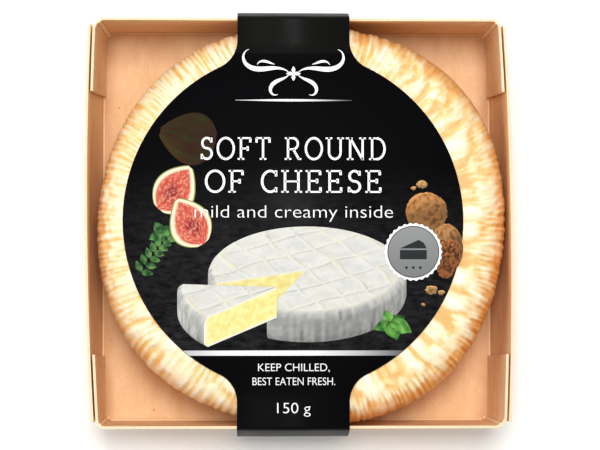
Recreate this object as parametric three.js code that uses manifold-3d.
// A small soft-cheese wheel, sold in an open tray of folded board and held by a printed card sleeve.
// Three separate pieces: the cheese rests in the tray, and the sleeve is a closed loop round both.
// Millimetres, +Z up. The origin is the middle of the underside, on the surface that the pack stands on.
import * as THREE from "three";
import { mergeVertices } from "three/addons/utils/BufferGeometryUtils.js";
import Module from "manifold-3d";

// Cheese wheel, soft enough to settle towards the tray's corners
const CHEESE_DIAMETER = 91; // mean, across the widest ring
const CHEESE_HEIGHT = 24.2;
const CHEESE_PLACE = [0.9, -0.3]; // its middle, from the tray's middle
const WIDEST_SHARE = 0.55; // height of the widest ring, as a share of the cheese's own height
const TOP_SHOULDER = 8.5; // how far in from the widest ring the flat top starts
const BOTTOM_SHOULDER = 7; // the same for the flat underside
const SHOULDER_FULLNESS = 2.4; // 2 is an ellipse, and more is squarer
// Swellings of the outline: how many go round it, how far they stand out, and where one points in degrees.
const SWELLINGS = [
  { count: 2, size: 0.5, towards: 10 },
  { count: 3, size: 0.3, towards: 60 },
  { count: 4, size: 0.8, towards: 40 },
];

// Board tray: a square floor, two end walls with a tab at each end, and two side walls outside the tabs
const BOARD = 0.55; // thickness of the folded board
const TRAY_HEIGHT = 23.6; // underside of the floor to the rim
const FLOOR_TUCK = 1.0; // how far the floor's creases lie inside the mean widest ring
const SIDE_LEAN = 0.4; // how far a side wall leans out at its rim, at its ends
const SIDE_SKEW = 0.5; // how much more it leans at one end, and less at the other
const SIDE_BOW = 1.1; // how much further its rim bows out at its middle
const END_LEAN = 0.5; // how far an end wall leans in at its rim
const CORNER_RADIUS = 2.5; // bend between an end wall and its tabs, on the board's middle line
const TAB_LENGTH = 16.5; // outer face of the end wall to the tab's free edge
const TAB_TAPER = 1.2; // how much shorter a tab is at its foot
const TAB_GAP = 0.15; // tab to side wall, at the foot
const TAB_OPENING = 0.3; // how much wider that gap is at the rim
const TAB_LIFT = 0.4; // tab's lower edge above the floor
const SIDE_END_INSET = 1.3; // how far a side wall's ends stay inside the end walls' creases

// Printed sleeve: a loop of thin card whose top panel widens into a round label
const CARD = 0.35;
const STRIP_WIDTH = 24.3;
const LABEL_MARGIN = 8.7; // how much rind shows round the label, at the mean widest ring
const NECK_RADIUS = 6.5; // fillet between the round label and the strip
const LABEL_PLACE = [-1.4, 0.4]; // the round label's middle, from the tray's middle
const SLEEVE_BOW = 1.45; // how far the sleeve's two ends bulge out at half height
const SLEEVE_PULL = 0.3; // how far its top folds are drawn in, for each millimetre that they lie above the rim

// Clearances
const REST_GAP = 0.1; // between pieces that lie flat on each other
const SIDE_GAP = 0.3; // cheese to the walls, at the widest ring
const FOOT_SLACK = 0.25; // sleeve to the tray's end creases
const RIM_SLACK = 0.15; // sleeve to the end walls' rims

// Facets
const ROUND_STEPS = 72;
const SHOULDER_STEPS = 8;
const WALL_STEPS = 12;
const RISE_STEPS = 6;
const BEND_STEPS = 6;
const FINE = 1e-9; // for telling a strip's last cut from the one before it

// Heights of the stack, from the ground up
const TRAY_FOOT = CARD + REST_GAP;
const FLOOR_TOP = TRAY_FOOT + BOARD;
const RIM = TRAY_FOOT + TRAY_HEIGHT;
const CHEESE_FOOT = FLOOR_TOP + REST_GAP;
const CHEESE_TOP = CHEESE_FOOT + CHEESE_HEIGHT;
const LABEL_FOOT = Math.max(CHEESE_TOP, RIM) + REST_GAP;

// The cheese's radius at its widest ring, in that direction in radians.
function outline(angle) {
  const swelling = ({ count, size, towards }) =>
    size * Math.cos(count * (angle - THREE.MathUtils.degToRad(towards)));
  return CHEESE_DIAMETER / 2 + SWELLINGS.reduce((sum, one) => sum + swelling(one), 0);
}

// How far the widest ring reaches from the tray's middle along X, axis 0 with Math.cos, or along Y,
// axis 1 with Math.sin, on whichever side it goes further.
function reach(axis, across) {
  const turns = Array.from({ length: ROUND_STEPS }, (_, i) => (2 * Math.PI * i) / ROUND_STEPS);
  return Math.max(...turns.map((a) => Math.abs(CHEESE_PLACE[axis] + outline(a) * across(a))));
}

const share = (z) => THREE.MathUtils.clamp((z - FLOOR_TOP) / (RIM - FLOOR_TOP), 0, 1);

// Plan sizes that follow from the cheese
const WIDEST = CHEESE_FOOT + CHEESE_HEIGHT * WIDEST_SHARE;
const FLOOR_HALF = CHEESE_DIAMETER / 2 - FLOOR_TUCK;
const CREASE_HALF = FLOOR_HALF + BOARD; // middle of the tray to the outer face of a wall, at its crease
const LABEL_RADIUS = CHEESE_DIAMETER / 2 - LABEL_MARGIN;

// The walls by pairs: half their length, how far the cheese reaches towards them, how far they lean out
// at the rim, and how much further the rim's middle bows out
const SIDE_WALL = {
  half: FLOOR_HALF - SIDE_END_INSET,
  reached: reach(0, Math.cos),
  lean: SIDE_LEAN,
  bow: SIDE_BOW,
};
const END_WALL = {
  half: FLOOR_HALF - TAB_GAP - BOARD / 2 - CORNER_RADIUS,
  reached: reach(1, Math.sin),
  lean: -END_LEAN,
  bow: 0,
};

// How far the cheese has drawn in from its widest ring, at a height above that.
function drawnIn(z) {
  const up = THREE.MathUtils.clamp((z - WIDEST) / (CHEESE_TOP - WIDEST), 0, 1);
  return TOP_SHOULDER * (1 - (1 - up ** SHOULDER_FULLNESS) ** (1 / SHOULDER_FULLNESS));
}

// How far the cheese pushes a wall out beyond its lean, at that length from the wall's middle: most at
// the widest ring and in the middle, and nothing at the crease and at the wall's ends.
function pushed({ half, reached, lean, bow }, along, z) {
  const needed = (height) => reached - drawnIn(height) + SIDE_GAP - FLOOR_HALF - lean * share(height);
  const below = THREE.MathUtils.clamp((z - FLOOR_TOP) / (WIDEST - FLOOR_TOP), 0, 1);
  const above = THREE.MathUtils.smoothstep(z, WIDEST, RIM);
  const curve = Math.sin((Math.PI / 2) * below) * THREE.MathUtils.lerp(needed(WIDEST), bow, above);
  return Math.max(curve, z > WIDEST ? needed(z) : 0) * Math.max(0, 1 - (along / half) ** 2);
}

// How far out a side wall stands from its crease at that place. side is 1 or -1, the sign of its x.
function sideShift(side, y, z) {
  const lean = SIDE_LEAN - (side * SIDE_SKEW * y) / SIDE_WALL.half;
  return lean * share(z) + pushed(SIDE_WALL, y, z);
}

// How far out an end wall stands from its crease at that place.
function endShift(x, z) {
  return pushed(END_WALL, x, z) - END_LEAN * share(z);
}

// Half lengths of the sleeve's inner loop, at its bottom and top folds
const FOOT_FOLD = CREASE_HALF + FOOT_SLACK;
const TOP_FOLD = CREASE_HALF + endShift(0, RIM) + RIM_SLACK - SLEEVE_PULL * (LABEL_FOOT - RIM);

const board = new THREE.MeshStandardMaterial({ color: 0xd99b68, roughness: 0.85, metalness: 0 });
const rind = new THREE.MeshStandardMaterial({ color: 0xf5dcae, roughness: 0.6, metalness: 0 });
const print = new THREE.MeshStandardMaterial({ color: 0x0b0b0c, roughness: 0.4, metalness: 0 });

const wasm = await Module();
wasm.setup();

// A closed geometry as a manifold-3d solid.
function solid(geometry) {
  const bare = geometry.clone();
  bare.deleteAttribute("normal");
  bare.deleteAttribute("uv");
  const merged = mergeVertices(bare, 1e-5);
  return new wasm.Manifold(
    new wasm.Mesh({
      numProp: 3,
      vertProperties: merged.attributes.position.array,
      triVerts: new Uint32Array(merged.index.array),
    }),
  );
}

// The solids joined, as one geometry.
function joined(...geometries) {
  const whole = geometries.map(solid).reduce((a, b) => a.add(b));
  const mesh = whole.getMesh();
  const geometry = new THREE.BufferGeometry()
    .setAttribute("position", new THREE.BufferAttribute(mesh.vertProperties, 3))
    .setIndex(new THREE.BufferAttribute(mesh.triVerts, 1));
  geometry.computeVertexNormals();
  return geometry;
}

// A box whose vertices are moved by place(x, y, z), which returns the new [x, y, z].
function shaped(box, place) {
  const at = box.attributes.position;
  for (let i = 0; i < at.count; i++) at.setXYZ(i, ...place(at.getX(i), at.getY(i), at.getZ(i)));
  return box;
}

// Step i of a shoulder, from the widest ring to the flat, as two shares: how far out it is left, and how
// far up or down it has gone.
function shoulder(i) {
  const t = (Math.PI / 2) * (i / SHOULDER_STEPS);
  const power = 2 / SHOULDER_FULLNESS;
  return [Math.cos(t) ** power, Math.sin(t) ** power];
}

function cheeseWheel() {
  const radius = CHEESE_DIAMETER / 2;
  const lower = WIDEST - CHEESE_FOOT;
  const upper = CHEESE_TOP - WIDEST;
  const profile = [new THREE.Vector2(0, CHEESE_FOOT)];
  for (let i = SHOULDER_STEPS; i > 0; i--) {
    const [out, down] = shoulder(i);
    profile.push(new THREE.Vector2(radius - BOTTOM_SHOULDER * (1 - out), WIDEST - lower * down));
  }
  for (let i = 0; i <= SHOULDER_STEPS; i++) {
    const [out, up] = shoulder(i);
    profile.push(new THREE.Vector2(radius - TOP_SHOULDER * (1 - out), WIDEST + upper * up));
  }
  profile.push(new THREE.Vector2(0, CHEESE_TOP));
  const round = new THREE.LatheGeometry(profile, ROUND_STEPS).rotateX(Math.PI / 2);
  return shaped(round, (x, y, z) => {
    const swell = outline(Math.atan2(y, x)) / radius;
    return [CHEESE_PLACE[0] + x * swell, CHEESE_PLACE[1] + y * swell, z];
  });
}

// The floor, a square with the corners rounded as the end walls' bends are.
function floorPanel() {
  const half = CREASE_HALF;
  const round = CORNER_RADIUS + BOARD / 2;
  const shape = new THREE.Shape();
  shape.absarc(half - round, half - round, round, 0, Math.PI / 2);
  shape.absarc(round - half, half - round, round, Math.PI / 2, Math.PI);
  shape.absarc(round - half, round - half, round, Math.PI, 1.5 * Math.PI);
  shape.absarc(half - round, round - half, round, 1.5 * Math.PI, 2 * Math.PI);
  const options = { depth: BOARD, bevelEnabled: false, curveSegments: BEND_STEPS };
  return new THREE.ExtrudeGeometry(shape, options).translate(0, 0, TRAY_FOOT);
}

// The side wall on +X. The other one is the same wall after half a turn.
function sideWall() {
  const box = new THREE.BoxGeometry(BOARD, 2 * SIDE_WALL.half, TRAY_HEIGHT, 1, WALL_STEPS, RISE_STEPS);
  box.translate(FLOOR_HALF + BOARD / 2, 0, TRAY_FOOT + TRAY_HEIGHT / 2);
  return shaped(box, (x, y, z) => [x + sideShift(1, y, z), y, z]);
}

// The board's middle line in plan, from one tab's free edge round the end wall to the other's: at a
// length s from the wall's middle, the point [x, y] and the outward normal [x, y].
function endLine(s) {
  const wallY = FLOOR_HALF + BOARD / 2;
  const straight = END_WALL.half;
  const tabX = straight + CORNER_RADIUS;
  const bend = (Math.PI / 2) * CORNER_RADIUS;
  const side = Math.sign(s) || 1;
  const d = Math.abs(s);
  if (d <= straight) return { at: [s, wallY], out: [0, 1], tab: 0, side };
  if (d <= straight + bend) {
    const turn = (d - straight) / CORNER_RADIUS;
    const out = [Math.sin(turn), Math.cos(turn)];
    return {
      at: [side * (straight + CORNER_RADIUS * out[0]), wallY - CORNER_RADIUS * (1 - out[1])],
      out: [side * out[0], out[1]],
      tab: turn / (Math.PI / 2),
      side,
    };
  }
  const down = d - straight - bend;
  return { at: [side * tabX, wallY - CORNER_RADIUS - down], out: [side, 0], tab: 1, side };
}

// An end wall with its two tabs, as one strip of board bent round the corners.
function endWall() {
  const straight = END_WALL.half;
  const bend = (Math.PI / 2) * CORNER_RADIUS;
  const free = TAB_LENGTH - BOARD / 2 - CORNER_RADIUS;
  const length = 2 * (straight + bend + free);
  // Cuts across the strip: even along the wall, round each bend, then along each tab.
  const half = [
    ...Array.from({ length: WALL_STEPS / 2 }, (_, i) => (straight * (i + 1)) / (WALL_STEPS / 2)),
    ...Array.from({ length: BEND_STEPS }, (_, i) => straight + (bend * (i + 1)) / BEND_STEPS),
    straight + bend + free / 2,
    straight + bend + free,
  ];
  const cuts = [...half.map((s) => -s).reverse(), 0, ...half];
  const steps = cuts.length - 1;
  const box = new THREE.BoxGeometry(length, BOARD, TRAY_HEIGHT, steps, 1, RISE_STEPS);
  box.translate(0, 0, TRAY_FOOT + TRAY_HEIGHT / 2);
  return shaped(box, (x, y, z) => {
    const s = cuts[Math.round((x / length + 0.5) * steps)];
    const tapered = Math.abs(s) > straight + bend + free - FINE;
    const line = endLine(tapered ? s - Math.sign(s) * TAB_TAPER * (1 - share(z)) : s);
    const lifted = Math.max(z, line.tab > 0 ? FLOOR_TOP + TAB_LIFT * line.tab : z);
    const beside = sideShift(line.side, line.at[1], lifted) - TAB_OPENING * share(lifted);
    return [
      line.at[0] + line.out[0] * y + beside * line.tab * line.side,
      line.at[1] + line.out[1] * y + endShift(line.at[0], lifted) * (1 - line.tab),
      lifted,
    ];
  });
}

function boardTray() {
  const turned = (geometry) => geometry.clone().rotateZ(Math.PI);
  const side = sideWall();
  const end = endWall();
  return joined(floorPanel(), side, turned(side), end, turned(end));
}

// An edge of the sleeve's loop, seen from the side, at that distance outside its inner face.
function loopOutline(path, out) {
  const foot = FOOT_FOLD + out;
  const top = TOP_FOLD + out;
  const low = CARD - out;
  const high = LABEL_FOOT + out;
  // A quadratic curve passes halfway between its control point and the middle of its ends.
  const control = 2 * (FOOT_FOLD + out + SLEEVE_BOW) - (foot + top) / 2;
  path.moveTo(-foot, low);
  path.lineTo(foot, low);
  path.quadraticCurveTo(control, (low + high) / 2, top, high);
  path.lineTo(-top, high);
  path.quadraticCurveTo(-control, (low + high) / 2, -foot, low);
  return path;
}

function sleeveLoop() {
  const shape = loopOutline(new THREE.Shape(), CARD);
  shape.holes.push(loopOutline(new THREE.Path(), 0));
  const options = { depth: STRIP_WIDTH, bevelEnabled: false, curveSegments: WALL_STEPS };
  const loop = new THREE.ExtrudeGeometry(shape, options);
  // The outline's x runs along Y, its y along Z, and the card's width along X.
  const axes = new THREE.Matrix4().makeBasis(
    new THREE.Vector3(0, 1, 0),
    new THREE.Vector3(0, 0, 1),
    new THREE.Vector3(1, 0, 0),
  );
  return loop.applyMatrix4(axes).translate(LABEL_PLACE[0] - STRIP_WIDTH / 2, 0, 0);
}

// The round label with its four neck fillets, in the top panel's thickness.
function roundLabel() {
  const edge = STRIP_WIDTH / 2;
  const neckX = edge + NECK_RADIUS;
  const neckY = Math.sqrt((LABEL_RADIUS + NECK_RADIUS) ** 2 - neckX ** 2);
  const lean = Math.atan2(neckY, neckX);
  const shape = new THREE.Shape();
  shape.moveTo(edge, neckY);
  shape.absarc(neckX, neckY, NECK_RADIUS, Math.PI, Math.PI + lean, false);
  shape.absarc(0, 0, LABEL_RADIUS, lean, -lean, true);
  shape.absarc(neckX, -neckY, NECK_RADIUS, Math.PI - lean, Math.PI, false);
  shape.lineTo(-edge, -neckY);
  shape.absarc(-neckX, -neckY, NECK_RADIUS, 0, lean, false);
  shape.absarc(0, 0, LABEL_RADIUS, Math.PI + lean, Math.PI - lean, true);
  shape.absarc(-neckX, neckY, NECK_RADIUS, -lean, 0, false);
  const options = { depth: CARD, bevelEnabled: false, curveSegments: ROUND_STEPS / 3 };
  return new THREE.ExtrudeGeometry(shape, options).translate(...LABEL_PLACE, LABEL_FOOT);
}

function named(name, geometry, material) {
  const mesh = new THREE.Mesh(geometry, material);
  mesh.name = name;
  return mesh;
}

const pack = new THREE.Group();
pack.add(named("board_tray", boardTray(), board));
pack.add(named("cheese_wheel", cheeseWheel(), rind));
pack.add(named("label_sleeve", joined(sleeveLoop(), roundLabel()), print));

export default pack;
